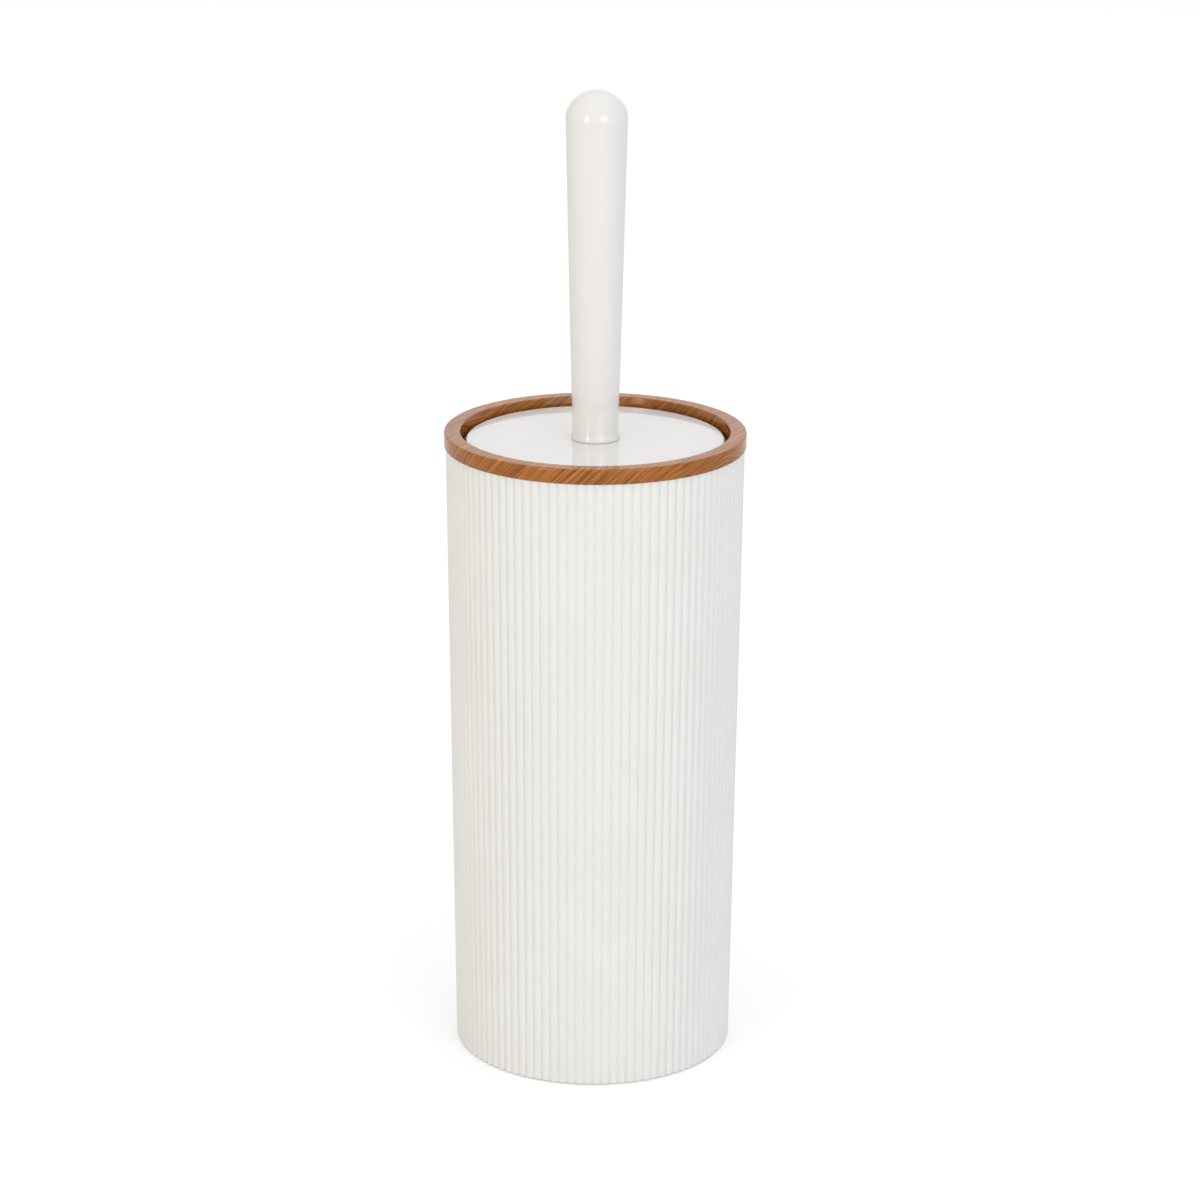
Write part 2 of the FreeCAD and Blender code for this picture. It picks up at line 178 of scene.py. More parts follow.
def pull_ring(from_radius, from_z, to_radius, to_z):
    """Extrudes the selected ring to its next size and height, or closes it on the axis."""
    bpy.ops.mesh.extrude_region_move(TRANSFORM_OT_translate={"value": (0, 0, to_z - from_z)})
    if to_radius == 0:
        bpy.ops.mesh.merge(type="CENTER")
        return
    scale = to_radius / from_radius
    bpy.ops.transform.resize(value=(scale, scale, 1), center_override=(0, 0, to_z))


def tidy_mesh(merge_distance=0.004 * MM):
    """Closes the seams and turns every face outwards."""
    bpy.ops.mesh.select_all(action="SELECT")
    bpy.ops.mesh.remove_doubles(threshold=merge_distance)
    bpy.ops.mesh.normals_make_consistent(inside=False)


def smooth(piece, degrees=38):
    """Smooth shading that keeps flat faces flat beside their rounded edges."""
    start_piece()
    piece.select_set(True)
    bpy.context.view_layer.objects.active = piece
    bpy.ops.object.shade_smooth_by_angle(angle=math.radians(degrees))
    bpy.ops.object.modifier_add(type="WEIGHTED_NORMAL")
    piece.modifiers[-1].keep_sharp = True
    bpy.ops.object.modifier_apply(modifier=piece.modifiers[-1].name)


def turned(name, corners, sides=SIDES):
    """A piece turned round the Z axis, drawn as rings through (r, z) or (r, z, rounding) corners.

    An outline that starts and ends on the axis is solid through; any other closes on its first corner.
    """
    solid = corners[0][0] == 0
    rings = [corner for corner in corners if corner[0] > 0]
    start_piece()
    bpy.ops.mesh.primitive_circle_add(vertices=sides, radius=rings[0][0], location=(0, 0, rings[0][1]))
    piece = bpy.context.object
    piece.name = piece.data.name = name
    bpy.ops.object.transform_apply(location=True, rotation=True, scale=True)
    edit(piece)
    bpy.ops.mesh.select_all(action="SELECT")
    route = rings[1:] + [corners[-1] if solid else rings[0]]
    radius, z = rings[0][:2]
    for to_radius, to_z, *_ in route:
        pull_ring(radius, z, to_radius, to_z)
        radius, z = to_radius, to_z
    if solid:
        select_ring(piece, *rings[0][:2])
        pull_ring(rings[0][0], rings[0][1], 0, corners[0][1])
    tidy_mesh()
    for corner in rings:
        if len(corner) > 2:
            select_ring(piece, corner[0], corner[1])
            segments = 4 if corner[2] < 1 * MM else 8
            bpy.ops.mesh.bevel(offset=corner[2], segments=segments, profile=0.5, affect="EDGES")
    tidy_mesh()
    leave_edit()
    smooth(piece)
    return piece


def copy_of(piece, name, place=Matrix.Identity(4)):
    """A copy with its own mesh, moved within its mesh."""
    copy = piece.copy()
    copy.data = piece.data.copy()
    copy.name = copy.data.name = name
    copy.data.transform(place)
    bpy.context.scene.collection.objects.link(copy)
    return copy


def join(pieces, name):
    start_piece()
    for piece in pieces:
        piece.select_set(True)
    bpy.context.view_layer.objects.active = pieces[0]
    bpy.ops.object.join()
    pieces[0].name = pieces[0].data.name = name
    return pieces[0]


def discard(piece):
    bpy.data.meshes.remove(piece.data)


def spaced(count, start=0.0):
    """Angles in degrees, evenly spaced round the Z axis."""
    return [start + 360.0 * i / count for i in range(count)]


def turn_z(degrees):
    return Matrix.Rotation(math.radians(degrees), 4, "Z")


# ---------------------------------------------------------------- shell
def one_rib():
    """One reed of the shell as an open sheet, from base to rim, with its left groove at the front."""
    step = math.tau / RIB_COUNT
    crest = SHELL_FOOT_RADIUS
    groove = crest - RIB_HEIGHT
    half_chord = groove * math.sin(step / 2)
    rise = crest - groove * math.cos(step / 2)
    bend_radius = (half_chord**2 + rise**2) / (2 * rise)
    half_bend = math.asin(half_chord / bend_radius)
    middle = -math.pi / 2 + step / 2
    bend_centre = Vector((math.cos(middle), math.sin(middle), 0)) * (crest - bend_radius)
    bend_centre.z = SHELL_FOOT
    start_piece()
    bpy.ops.mesh.primitive_plane_add(size=1 * MM, location=(0, 0, 0))
    rib = bpy.context.object
    edit(rib)
    bpy.ops.mesh.select_all(action="SELECT")
    bpy.ops.mesh.merge(type="CENTER")
    bpy.ops.transform.translate(value=(0, -groove, SHELL_FOOT))
    bpy.ops.mesh.spin(steps=RIB_SEGMENTS, angle=-2 * half_bend, center=bend_centre, axis=(0, 0, 1))
    bpy.ops.mesh.select_all(action="SELECT")
    foot_round = ((0.993, 0.0), (0.9975, 0.14 * MM), (1.0, 0.45 * MM))  # share of the radius, height
    rings = [(share, SHELL_FOOT + height) for share, height in foot_round]
    spread = SHELL_TOP_RADIUS / SHELL_FOOT_RADIUS
    for share in (0.2, 0.4, 0.6, 0.8, 1.0):
        height = SHELL_FOOT + (SHELL_TOP - SHELL_FOOT) * share
        rings.append((between(1.0, spread, SHELL_FOOT, SHELL_TOP, height), height))
    scale, z = rings[0]
    bpy.ops.transform.resize(value=(scale, scale, 1), center_override=(0, 0, z))
    for to_scale, to_z in rings[1:]:
        pull_ring(scale, z, to_scale, to_z)
        scale, z = to_scale, to_z
    leave_edit()
    return rib


def shell_bore(z):
    """The shell's inner radius at height z."""
    return between(SHELL_FOOT_RADIUS, SHELL_TOP_RADIUS, SHELL_FOOT, SHELL_TOP, z) - RIB_HEIGHT - SHELL_WALL


def round_off_ring(piece, z, radius):
    """Makes the selected ribbed ring truly round, at the radius wanted."""
    bpy.ops.transform.tosphere(value=1.0, center_override=(0, 0, z))
    mesh = bmesh.from_edit_mesh(piece.data)
    now = next(v.co.xy.length for v in mesh.verts if v.select)
    bpy.ops.transform.resize(value=(radius / now, radius / now, 1), center_override=(0, 0, z))


def ribbed_shell():
    """The outer tub: its reeded wall, smooth inside, and a floor with a shallow recess beneath."""
    shell = one_rib()
    shell.name = shell.data.name = "ribbed_shell_moulding"
    edit(shell)
    bpy.ops.mesh.select_all(action="SELECT")
    last = RIB_COUNT - 1
    bpy.ops.mesh.spin(
        steps=last, dupli=True, angle=math.tau * last / RIB_COUNT, center=(0, 0, 0), axis=(0, 0, 1)
    )
    tidy_mesh(0.01 * MM)
    floor_top = SHELL_FOOT + SHELL_FLOOR
    select_level(shell, SHELL_TOP)
    bpy.ops.mesh.extrude_region_move(TRANSFORM_OT_translate={"value": (0, 0, 0)})
    round_off_ring(shell, SHELL_TOP, shell_bore(SHELL_TOP))
    inside = []
    for i in range(5):
        turn = math.radians(90 * i / 4)
        inside.append((
            shell_bore(floor_top) - SHELL_INNER_ROUND * (1 - math.cos(turn)),
            floor_top + SHELL_INNER_ROUND * (1 - math.sin(turn)),
        ))
    radius, z = shell_bore(SHELL_TOP), SHELL_TOP
    for to_radius, to_z in inside + [(0, floor_top)]:
        pull_ring(radius, z, to_radius, to_z)
        radius, z = to_radius, to_z
    select_level(shell, SHELL_FOOT)
    bpy.ops.mesh.extrude_region_move(TRANSFORM_OT_translate={"value": (0, 0, 0)})
    radius, z = SHELL_FOOT_RADIUS - SHELL_STANDING_RIM, SHELL_FOOT
    round_off_ring(shell, z, radius)
    recess_top = SHELL_FOOT + SHELL_RECESS_DEPTH
    underside = ((SHELL_RECESS_RADIUS, SHELL_FOOT), (SHELL_RECESS_RADIUS, recess_top), (0, recess_top))
    for to_radius, to_z in underside:
        pull_ring(radius, z, to_radius, to_z)
        radius, z = to_radius, to_z
    tidy_mesh()
    leave_edit()
    smooth(shell)
    return shell


def foot_pads():
    """Four foam pads under the shell."""
    pad = turned("foot_pad", [
        (0, PAD_FOOT), (PAD_RADIUS, PAD_FOOT, 0.3 * MM), (PAD_RADIUS, PAD_TOP), (0, PAD_TOP),
    ], sides=64)
    out = Matrix.Translation((PAD_CIRCLE_RADIUS, 0, 0))
    pads = [copy_of(pad, f"foam_pad_{i + 1}", turn_z(a) @ out) for i, a in enumerate(spaced(4, 45.0))]
    discard(pad)
    return pads


# ---------------------------------------------------------------- rim
def wood_ring():
    """The turned ring, with a groove beneath for the collar's upstand."""
    groove_in = COLLAR_RADIUS - UPSTAND_WALL - 0.1 * MM
    groove_out = COLLAR_RADIUS + 0.2 * MM
    groove_top = COLLAR_TOP + 0.2 * MM
    return turned("turned_wood_ring", [
        (RING_RADIUS, RING_FOOT, 0.35 * MM),
        (RING_RADIUS, RING_TOP, 0.7 * MM),
        (RING_BORE, RING_TOP, 0.7 * MM),
        (RING_BORE, RING_FOOT, 0.25 * MM),
        (groove_in, RING_FOOT),
        (groove_in, groove_top),
        (groove_out, groove_top),
        (groove_out, RING_FOOT),
    ], sides=360)


def rim_collar():
    """The insert in the shell's mouth: its upstand holds the ring and its ledge holds the cup."""
    bore = COLLAR_RADIUS - COLLAR_WALL
    step = CUP_FLANGE_RADIUS + CUP_SEAT_CLEARANCE
    upstand_bore = COLLAR_RADIUS - UPSTAND_WALL
    ledge_top = CUP_RIM - CUP_FLANGE_THICKNESS
    ledge_foot = ledge_top - COLLAR_LEDGE_THICKNESS
    return turned("rim_collar_moulding", [
        (COLLAR_RADIUS, COLLAR_FOOT, 0.5 * MM),
        (COLLAR_RADIUS, COLLAR_TOP, 0.3 * MM),
        (upstand_bore, COLLAR_TOP, 0.3 * MM),
        (upstand_bore, SHELL_TOP),
        (step, SHELL_TOP),
        (step, ledge_top),
        (COLLAR_LEDGE_RADIUS, ledge_top, 0.4 * MM),
        (COLLAR_LEDGE_RADIUS, ledge_foot, 0.4 * MM),
        (bore, ledge_foot, 0.8 * MM),
        (bore, COLLAR_FOOT),
    ])


# ---------------------------------------------------------------- drip cup
def drip_cup():
    """The tapered cup that hangs by its flange."""
    ledge_top = CUP_RIM - CUP_FLANGE_THICKNESS

    def bore(z):
        return between(CUP_FOOT_RADIUS, CUP_TOP_RADIUS, CUP_FOOT, ledge_top, z) - CUP_WALL

    floor_top = CUP_FOOT + CUP_FLOOR
    return turned("drip_cup_moulding", [
        (0, CUP_FOOT),
        (CUP_FOOT_RADIUS, CUP_FOOT, 4.5 * MM),
        (CUP_TOP_RADIUS, ledge_top, 0.3 * MM),
        (CUP_FLANGE_RADIUS, ledge_top, 0.3 * MM),
        (CUP_FLANGE_RADIUS, CUP_RIM, 0.3 * MM),
        (bore(CUP_RIM), CUP_RIM, 0.5 * MM),
        (bore(floor_top), floor_top, 3.2 * MM),
        (0, floor_top),
    ])


# ---------------------------------------------------------------- lid
def lid():
    """The disc with its boss, its skirt and the webs between them."""
    under = LID_TOP - LID_THICKNESS
    skirt_bore = LID_SKIRT_RADIUS - LID_SKIRT_WALL
    disc = turned("lid_disc", [
        (LID_HOLE, LID_TOP),
        (LID_HOLE, under - LID_BOSS_DEPTH),
        (LID_BOSS_RADIUS, under - LID_BOSS_DEPTH, 0.4 * MM),
        (LID_BOSS_RADIUS, under, 0.6 * MM),
        (skirt_bore, under, 0.6 * MM),
        (skirt_bore, LID_SKIRT_FOOT),
        (LID_SKIRT_RADIUS, LID_SKIRT_FOOT, 0.4 * MM),
        (LID_SKIRT_RADIUS, under),
        (LID_RADIUS, under, 0.3 * MM),
        (LID_RADIUS, LID_TOP, 0.7 * MM),
    ])
    start_piece()
    inner, outer = LID_BOSS_RADIUS - LID_WEB_BITE, skirt_bore + LID_WEB_BITE
    height = LID_WEB_DEPTH + LID_WEB_BITE
    middle = ((inner + outer) / 2, 0, under - LID_WEB_DEPTH + height / 2)
    bpy.ops.mesh.primitive_cube_add(size=1, location=middle)
    web = bpy.context.object
    edit(web)
    bpy.ops.mesh.select_all(action="SELECT")
    bpy.ops.transform.resize(value=(outer - inner, LID_WEB_THICKNESS, height))
    bpy.ops.mesh.bevel(offset=0.2 * MM, segments=2, affect="EDGES")
    leave_edit()
    bpy.ops.object.transform_apply(location=True, rotation=True, scale=True)
    webs = [copy_of(web, f"lid_web_{i}", turn_z(a)) for i, a in enumerate(spaced(LID_WEB_COUNT))]
    discard(web)
    return join([disc, *webs], "lid_moulding")


# ---------------------------------------------------------------- brush
def dome(radius, height, foot, steps=20):
    """Corners of a half-elliptical dome, from its foot to the axis."""
    turns = [math.pi / 2 * i / steps for i in range(steps)]
    return [(radius * math.cos(t), foot + height * math.sin(t)) for t in turns] + [(0, foot + height)]


def handle():
    """The hollow grip: a flange, a neck that widens upwards and a domed end."""
    flange_top = HANDLE_FOOT + FLANGE_HEIGHT
    dome_foot = HANDLE_TOP - DOME_HEIGHT
    seat_top = HANDLE_FOOT + GRIP_SEAT_DEPTH
    chamber_foot = seat_top + GRIP_SHOULDER

    def grip(z):
        return between(NECK_RADIUS, GRIP_RADIUS, flange_top, dome_foot, z)

    sides_up = [flange_top + (dome_foot - flange_top) * share for share in (0.25, 0.5, 0.75)]
    outside = [
        (GRIP_BORE, HANDLE_FOOT, 0.2 * MM),
        (FLANGE_RADIUS, HANDLE_FOOT, 0.15 * MM),
        (FLANGE_RADIUS, HANDLE_FOOT + FLANGE_EDGE, 0.4 * MM),
        (NECK_RADIUS, flange_top, 0.9 * MM),
        *[(grip(z), z) for z in sides_up],
        *dome(GRIP_RADIUS, DOME_HEIGHT, dome_foot),
    ]
    inside = [
        (GRIP_BORE, seat_top),
        (grip(chamber_foot) - GRIP_WALL, chamber_foot),
        *dome(GRIP_RADIUS - GRIP_WALL, DOME_HEIGHT - GRIP_WALL, dome_foot),
    ]
    return turned("handle_moulding", [*reversed(inside), *outside])


def bristle():
    """One filament with a slight bow, one metre long for its copies to scale, rising from the origin."""
    start_piece()
    bpy.ops.mesh.primitive_circle_add(vertices=5, radius=BRISTLE_RADIUS, fill_type="NGON")
    filament = bpy.context.object
    edit(filament)
    bpy.ops.mesh.select_all(action="SELECT")
    for i in range(1, 5):
        lean = BRISTLE_BOW * (math.sin(math.pi * i / 4) - math.sin(math.pi * (i - 1) / 4))
        bpy.ops.mesh.extrude_region_move(TRANSFORM_OT_translate={"value": (lean, 0, 0.25)})
    tidy_mesh(0)
    leave_edit()
    start_piece()
    filament.select_set(True)
    bpy.ops.object.shade_smooth()
    return filament


def tuft(filament, reach, chance):
    """A bundle of filaments that starts inside the head and spreads to its trimmed end, along +Z."""
    root = HEAD_RADIUS - TUFT_ROOT_DEPTH
    golden = math.pi * (3 - math.sqrt(5))
    strands = []
    for i in range(BRISTLES_PER_TUFT):
        share = math.sqrt((i + 0.5) / BRISTLES_PER_TUFT)
        turn = i * golden + chance.uniform(-0.2, 0.2)
        outwards = Vector((math.cos(turn), math.sin(turn), 0)) * share
        stray = Vector([chance.gauss(0, BRISTLE_STRAY) for _ in range(3)])
        foot = outwards * TUFT_ROOT_RADIUS + Vector((0, 0, root))
        tip = outwards * TUFT_TIP_RADIUS + Vector((0, 0, reach)) + stray
        run = tip - foot
        place = (
            Matrix.Translation(foot)
            @ run.to_track_quat("Z", "Y").to_matrix().to_4x4()
            @ Matrix.Rotation(chance.uniform(0, math.tau), 4, "Z")
            @ Matrix.Diagonal((1, 1, run.length, 1))
        )
        strands.append(copy_of(filament, "strand", place))
    return join(strands, "tuft")


def bristle_rows():
    """Every row of tufts, as one piece each."""
    chance = random.Random(7)
    filament = bristle()
    level = [sum(corner.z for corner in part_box(f"bristle_row_{i + 1}")) / 2 for i in range(LEVEL_ROWS)]
    rows = [(height, 0.0, TUFTS_PER_ROW) for height in level]
    rows += [(HEAD_DOME_CENTRE, tilt, count) for tilt, count in DOME_ROWS]
    pieces = []
    for number, (height, tilt, count) in enumerate(rows):
        down = math.radians(tilt)
        reach = BRISTLE_REACH - (BRISTLE_REACH - BRISTLE_TIP_REACH) * math.sin(down) ** 2
        patterns = [tuft(filament, reach, chance) for _ in range(TUFT_PATTERNS)]
        tufts = []
        for i, degrees in enumerate(spaced(count, 180.0 / count if number % 2 else 0.0)):
            aim = Matrix.Rotation(math.pi / 2 + down, 4, "Y")
            roll = turn_z(chance.uniform(0, 360))
            place = Matrix.Translation((0, 0, height)) @ turn_z(degrees) @ aim @ roll
            tufts.append(copy_of(patterns[i % TUFT_PATTERNS], "tuft_copy", place))
        for pattern in patterns:
            discard(pattern)
        pieces.append(join(tufts, f"bristles_{number + 1}"))
    discard(filament)
    return pieces


# ---------------------------------------------------------------- materials
class Finish:
    """A material, with short ways to add its nodes."""

    def __init__(self, name, **shader):
        """Sets the shader's own sockets, with _ for a space in a socket's name."""
        self.material = bpy.data.materials.new(name)
        self.material.use_nodes = True
        self.tree = self.material.node_tree
        self.shader = self.tree.nodes["Principled BSDF"]
        for socket, value in shader.items():
            self.shader.inputs[socket.replace("_", " ")].default_value = value
        self.place = self.add("ShaderNodeTexCoord").outputs["Object"]

    def add(self, kind, links=(), **settings):
        """A node with its settings, and its inputs linked to a socket or set to a value."""
        node = self.tree.nodes.new(kind)
        for setting, value in settings.items():
            setattr(node, setting, value)
        for socket, source in dict(links).items():
            if isinstance(source, bpy.types.NodeSocket):
                self.tree.links.new(source, node.inputs[socket])
            else:
                node.inputs[socket].default_value = source
        return node

    def link(self, socket, source):
        """Feeds one of the shader's inputs."""
        self.tree.links.new(source, self.shader.inputs[socket])

    def stretched(self, scale, vector=None):
        """Places on the object, or the vector given, multiplied along each axis."""
        vector = vector or self.place
        return self.add("ShaderNodeVectorMath", {0: vector, 1: scale}, operation="MULTIPLY").outputs[0]

    def noise(self, vector, scale=1.0, detail=2.0, roughness=0.5):
        links = {"Vector": vector, "Scale": scale, "Detail": detail, "Roughness": roughness}
        return self.add("ShaderNodeTexNoise", links).outputs["Fac"]

    def ramp(self, factor, *stops):
        """A colour ramp through (position, colour) stops."""
        node = self.add("ShaderNodeValToRGB", {"Fac": factor})
        elements = node.color_ramp.elements
        while len(elements) < len(stops):
            elements.new(0.5)
        for element, (position, colour) in zip(elements, stops):
            element.position = position
            element.color = (*colour, 1)
        return node.outputs["Color"]

    def two_tone(self, factor, darker, lighter):
        """The base colour, which drifts between two close tones."""
        self.link("Base Color", self.ramp(factor, (0.3, darker), (0.7, lighter)))

    def spread(self, factor, low, high, from_low=0.0, from_high=1.0):
        """Turns a factor between from_low and from_high into a value between low and high."""
        links = {
            "Value": factor, "From Min": from_low, "From Max": from_high, "To Min": low, "To Max": high
        }
        return self.add("ShaderNodeMapRange", links).outputs["Result"]

    def mix(self, factor, a, b):
        return self.add("ShaderNodeMix", {0: factor, 6: a, 7: b}, data_type="RGBA").outputs[2]

    def maths(self, operation, a, b, c=0.0):
        return self.add("ShaderNodeMath", {0: a, 1: b, 2: c}, operation=operation).outputs[0]

    def bump(self, height, distance, strength):
        node = self.add("ShaderNodeBump", {"Height": height, "Distance": distance, "Strength": strength})
        self.link("Normal", node.outputs["Normal"])


def grey(value):
    return (value, value, value)


def shell_plastic():
    """Satin moulded plastic, off-white."""
    finish = Finish("satin_off_white_plastic", Roughness=0.5, IOR=1.46)
    clouds = finish.noise(finish.place, 30, detail=3)
    finish.two_tone(clouds, (0.787, 0.782, 0.76), (0.807, 0.804, 0.785))
    flow = finish.noise(finish.stretched((700, 700, 60)), detail=3)
    finish.link("Roughness", finish.spread(flow, 0.42, 0.58, 0.3, 0.7))
    grain = finish.noise(finish.place, 5200, detail=2)
    finish.bump(grain, 0.00002, 0.35)
    return finish.material


def gloss_plastic():
    """Polished off-white plastic."""
    finish = Finish(
        "glossy_off_white_plastic", IOR=1.45, Specular_IOR_Level=0.2, Coat_Weight=0.8, Coat_Roughness=0.03
    )
    clouds = finish.noise(finish.place, 22, detail=2)
    finish.two_tone(clouds, (0.795, 0.778, 0.76), (0.81, 0.793, 0.775))
    wipe = finish.noise(finish.stretched((240, 240, 70)), detail=4)
    finish.link("Roughness", finish.spread(wipe, 0.16, 0.26, 0.3, 0.7))
    ripple = finish.noise(finish.stretched((150, 150, 60)), detail=1)
    finish.bump(ripple, 0.00004, 0.3)
    return finish.material


def inner_plastic():
    """Plain satin plastic of the hidden mouldings."""
    finish = Finish("plain_white_plastic", Roughness=0.42, IOR=1.48)
    clouds = finish.noise(finish.place, 45, detail=3)
    finish.two_tone(clouds, (0.80, 0.80, 0.785), (0.835, 0.835, 0.825))
    wear = finish.noise(finish.stretched((500, 500, 90)), detail=4)
    finish.link("Roughness", finish.spread(wear, 0.34, 0.52, 0.3, 0.7))
    finish.bump(finish.noise(finish.place, 3600, detail=2), 0.00002, 0.3)
    return finish.material


def cup_plastic():
    """Dark satin plastic of the drip cup and its collar. Its near-black tone is painted shade for the deep
    gap between the lid and the wooden ring.
    """
    finish = Finish("near_black_plastic_painted_gap_shade", IOR=1.48)
    clouds = finish.noise(finish.place, 45, detail=3)
    # near-black tones: painted shade, so the gap round the lid reads dark
    finish.two_tone(clouds, (0.022, 0.016, 0.012), (0.032, 0.025, 0.020))
    wear = finish.noise(finish.stretched((500, 500, 90)), detail=4)
    finish.link("Roughness", finish.spread(wear, 0.36, 0.54, 0.3, 0.7))
    finish.bump(finish.noise(finish.place, 3600, detail=2), 0.00002, 0.3)
    return finish.material


def ring_wood():
    """Orange-brown wood under clear lacquer, with fine straight grain that crosses the ring at a slant."""
    finish = Finish(
        "lacquered_brown_wood", Specular_IOR_Level=0.0, Coat_Weight=1.0, Coat_IOR=1.48, Coat_Roughness=0.09
    )
    across = Vector((0.62, -0.32, -0.62)).normalized()  # square to the fibres
    turn = across.to_track_quat("X", "Z").inverted().to_euler()
    laid = finish.add("ShaderNodeMapping", {"Vector": finish.place, "Rotation": turn}).outputs["Vector"]
    # the fibres wander by a few millimetres along their length
    sway = finish.add("ShaderNodeTexNoise", {"Vector": laid, "Scale": 38, "Detail": 2.0}).outputs["Color"]
    swayed = finish.add(
        "ShaderNodeVectorMath", {0: sway, 1: (0.0042, 0.004, 0.004), 2: laid}, operation="MULTIPLY_ADD"
    ).outputs[0]
    fibres = finish.noise(finish.stretched((3600, 90, 90), swayed), detail=2, roughness=0.65)
    bands = finish.noise(finish.stretched((900, 26, 26), swayed), detail=1)
    pores = finish.noise(finish.stretched((2600, 60, 60), swayed), detail=1)
    colour = finish.ramp(
        finish.maths("MULTIPLY_ADD", fibres, 0.7, finish.maths("MULTIPLY", bands, 0.3)),
        (0.34, (0.215, 0.048, 0.001)),
        (0.48, (0.345, 0.103, 0.005)),
        (0.64, (0.520, 0.197, 0.030)),
    )
    dark = finish.ramp(pores, (0.56, grey(0)), (0.66, grey(0.75)))
    finish.link("Base Color", finish.mix(dark, colour, (0.12, 0.030, 0.002, 1)))
    finish.link("Roughness", finish.spread(fibres, 0.34, 0.52, 0.3, 0.7))
    finish.bump(finish.maths("SUBTRACT", fibres, finish.maths("MULTIPLY", pores, 0.5)), 0.00008, 0.35)
    return finish.material


def pad_foam():
    """Grey-white foam with fine open cells."""
    finish = Finish("grey_white_foam", Roughness=0.9, IOR=1.4)
    cells = finish.add("ShaderNodeTexVoronoi", {"Vector": finish.place, "Scale": 1600}).outputs["Distance"]
    finish.link("Base Color", finish.ramp(cells, (0.0, grey(0.52)), (0.6, grey(0.72))))
    finish.link("Roughness", finish.spread(cells, 0.8, 0.95))
    finish.bump(cells, 0.0002, 0.5)
    return finish.material


def staple_steel():
    """Plain drawn wire."""
    finish = Finish("plain_steel_wire", Metallic=1.0, IOR=1.5)
    streaks = finish.noise(finish.stretched((900, 4000, 900)), detail=3)
    finish.two_tone(streaks, grey(0.42), grey(0.62))
    finish.link("Roughness", finish.spread(streaks, 0.28, 0.45))
    finish.bump(streaks, 0.00002, 0.3)
    return finish.material


def bristle_nylon():
    """Milky nylon filament."""
    finish = Finish("white_nylon_bristle", IOR=1.5, Subsurface_Weight=0.15, Subsurface_Scale=0.001)
    tone = finish.noise(finish.place, 160, detail=3)
    finish.two_tone(tone, (0.80, 0.80, 0.78), (0.87, 0.87, 0.86))
    finish.link("Roughness", finish.spread(finish.noise(finish.place, 700, detail=2), 0.28, 0.42))
    return finish.material


# ---------------------------------------------------------------- putting it together
SLOT_OF = {part["node"]: part["material_slot"] for part in frame["record"]["subparts"]}
MATERIALS = {
    "shell_plastic": shell_plastic(),
    "inner_plastic": inner_plastic(),
    "cup_plastic": cup_plastic(),
    "ring_wood": ring_wood(),
    "gloss_plastic": gloss_plastic(),
    "staple_steel": staple_steel(),
    "pad_foam": pad_foam(),
    "bristle": bristle_nylon(),
}


def dress(piece, slot_name):
    """Gives the piece its slot's finish and no other."""
    piece.data.materials.clear()
    piece.data.materials.append(MATERIALS[slot_name])


def stand_for(piece, body, node):
    """The piece is shown in place of the plain node, moves with its body and takes its slot's finish."""
    dress(piece, SLOT_OF[node])
    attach(piece, body)
    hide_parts(node)


def build_object():
    stand_for(ribbed_shell(), "holder", "ribbed_shell")
    stand_for(wood_ring(), "holder", "wood_ring")
    stand_for(rim_collar(), "holder", "rim_collar")
    for number, pad in enumerate(foot_pads(), 1):
        stand_for(pad, "holder", f"foot_pad_{number}")
    stand_for(drip_cup(), "cup", "drip_cup")
    stand_for(lid(), "lid", "lid")
    stand_for(handle(), "brush", "handle")
    for number, row in enumerate(bristle_rows(), 1):
        stand_for(row, "brush", f"bristle_row_{number}")
    for node in ("handle_insert", "stem", "brush_head", "tuft_anchors"):
        dress(frame["nodes"][node], SLOT_OF[node])


# ---------------------------------------------------------------- studio
FLOOR_SIZE = 60
FLOOR_TONE = 0.80
FLOOR_GLOW = 0.27
ROOM_STRENGTH = 0.78
SIDE_WALLS = (  # place from left to right, colour
    (0.10, (0.92, 0.86, 0.775)),
    (0.36, (0.99, 1.0, 1.03)),
    (0.66, (0.99, 1.0, 1.03)),
    (0.92, (0.98, 0.98, 0.97)),
)
SOFTBOXES = (  # name, place, width, height, power in watts, colour
    ("warm_left", (-1.6, -2.05, 0.8), 0.5, 1.3, 11.9, (1.0, 0.935, 0.82)),
    ("small_right", (0.7, -2.45, 0.8), 0.6, 0.6, 3.6, (0.98, 0.985, 0.99)),
    ("cool_right", (1.38, -2.15, 0.8), 1.0, 1.0, 9.3, (0.96, 0.97, 0.985)),
    ("overhead", (0, 0.3, 2.4), 4.0, 4.0, 14.0, (0.98, 1.0, 1.0)),
    ("back_wall", (0, 2.5, 1.0), 2.4, 1.6, 2.4, (1.0, 1.0, 0.97)),
)
LIGHT_AIM = (0, 0, 0.2)
CAMERA_PLACE = (0, -1.3322, 0.5912)
CAMERA_DOWN = 17.483  # degrees below level
CAMERA_LEAN = 0.296  # degrees
CAMERA_ASIDE = -0.0865  # degrees
SENSOR_WIDTH = 36  # millimetres
FOCAL_LENGTH = 113.72  # millimetres


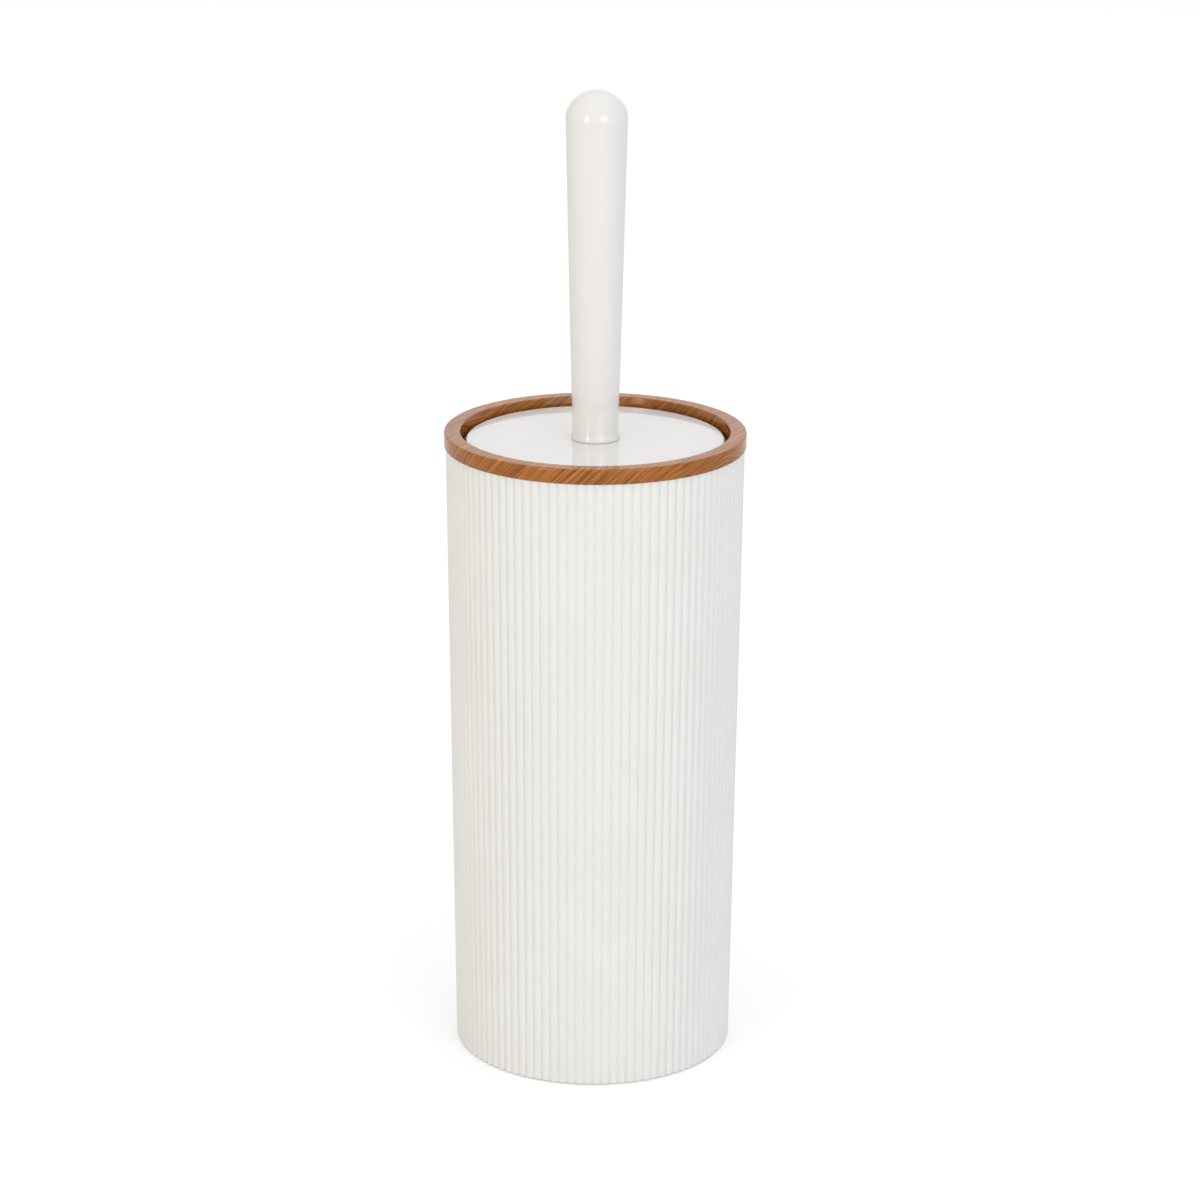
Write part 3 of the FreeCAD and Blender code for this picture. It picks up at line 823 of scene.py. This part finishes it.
def studio_floor():
    """A plain white floor. Its faint glow is seen but lights nothing, so it stays white to the edges."""
    start_piece()
    bpy.ops.mesh.primitive_plane_add(size=FLOOR_SIZE, location=(0, 0, 0))
    floor = bpy.context.object
    floor.name = "studio_floor"
    material = bpy.data.materials.new("white_floor")
    material.use_nodes = True
    shader = material.node_tree.nodes["Principled BSDF"]
    shader.inputs["Base Color"].default_value = (*grey(FLOOR_TONE), 1)
    shader.inputs["Roughness"].default_value = 0.9
    shader.inputs["Specular IOR Level"].default_value = 0.1
    shader.inputs["Emission Color"].default_value = (1, 1, 1, 1)
    seen = material.node_tree.nodes.new("ShaderNodeLightPath").outputs["Is Camera Ray"]
    glow = material.node_tree.nodes.new("ShaderNodeMath")
    glow.operation = "MULTIPLY"
    glow.inputs[1].default_value = FLOOR_GLOW
    material.node_tree.links.new(seen, glow.inputs[0])
    material.node_tree.links.new(glow.outputs[0], shader.inputs["Emission Strength"])
    floor.data.materials.append(material)


def softbox(name, place, width, height, power, colour):
    light = bpy.data.lights.new(name, "AREA")
    light.shape = "RECTANGLE"
    light.size, light.size_y = width, height
    light.energy = power
    light.color = colour
    lamp = bpy.data.objects.new(name, light)
    lamp.location = place
    lamp.rotation_euler = (Vector(LIGHT_AIM) - Vector(place)).to_track_quat("-Z", "Y").to_euler()
    bpy.context.scene.collection.objects.link(lamp)


def studio_light():
    """Pale walls all round, a little warmer and darker on the left, and the softboxes."""
    world = bpy.data.worlds.new("studio")
    world.use_nodes = True
    tree = world.node_tree
    direction = tree.nodes.new("ShaderNodeTexCoord").outputs["Generated"]
    across = tree.nodes.new("ShaderNodeSeparateXYZ")
    share = tree.nodes.new("ShaderNodeMapRange")
    walls = tree.nodes.new("ShaderNodeValToRGB")
    share.inputs["From Min"].default_value = -1.0
    while len(walls.color_ramp.elements) < len(SIDE_WALLS):
        walls.color_ramp.elements.new(0.5)
    for wall, (position, colour) in zip(walls.color_ramp.elements, SIDE_WALLS):
        wall.position = position
        wall.color = (*colour, 1)
    tree.links.new(direction, across.inputs["Vector"])
    tree.links.new(across.outputs["X"], share.inputs["Value"])
    tree.links.new(share.outputs["Result"], walls.inputs["Fac"])
    tree.links.new(walls.outputs["Color"], tree.nodes["Background"].inputs["Color"])
    tree.nodes["Background"].inputs["Strength"].default_value = ROOM_STRENGTH
    bpy.context.scene.world = world
    for box in SOFTBOXES:
        softbox(*box)


def camera():
    lens = bpy.data.cameras.new("camera")
    lens.sensor_width = SENSOR_WIDTH
    lens.lens = FOCAL_LENGTH
    view = bpy.data.objects.new("camera", lens)
    view.location = CAMERA_PLACE
    view.rotation_mode = "QUATERNION"
    aside = Quaternion((0, 0, 1), math.radians(CAMERA_ASIDE))
    down = Quaternion((1, 0, 0), math.pi / 2 - math.radians(CAMERA_DOWN))
    lean = Quaternion((0, 0, 1), math.radians(CAMERA_LEAN))
    view.rotation_quaternion = aside @ down @ lean
    bpy.context.scene.collection.objects.link(view)
    bpy.context.scene.camera = view


build_object()
studio_floor()
studio_light()
camera()
bpy.context.scene.view_settings.view_transform = "Standard"
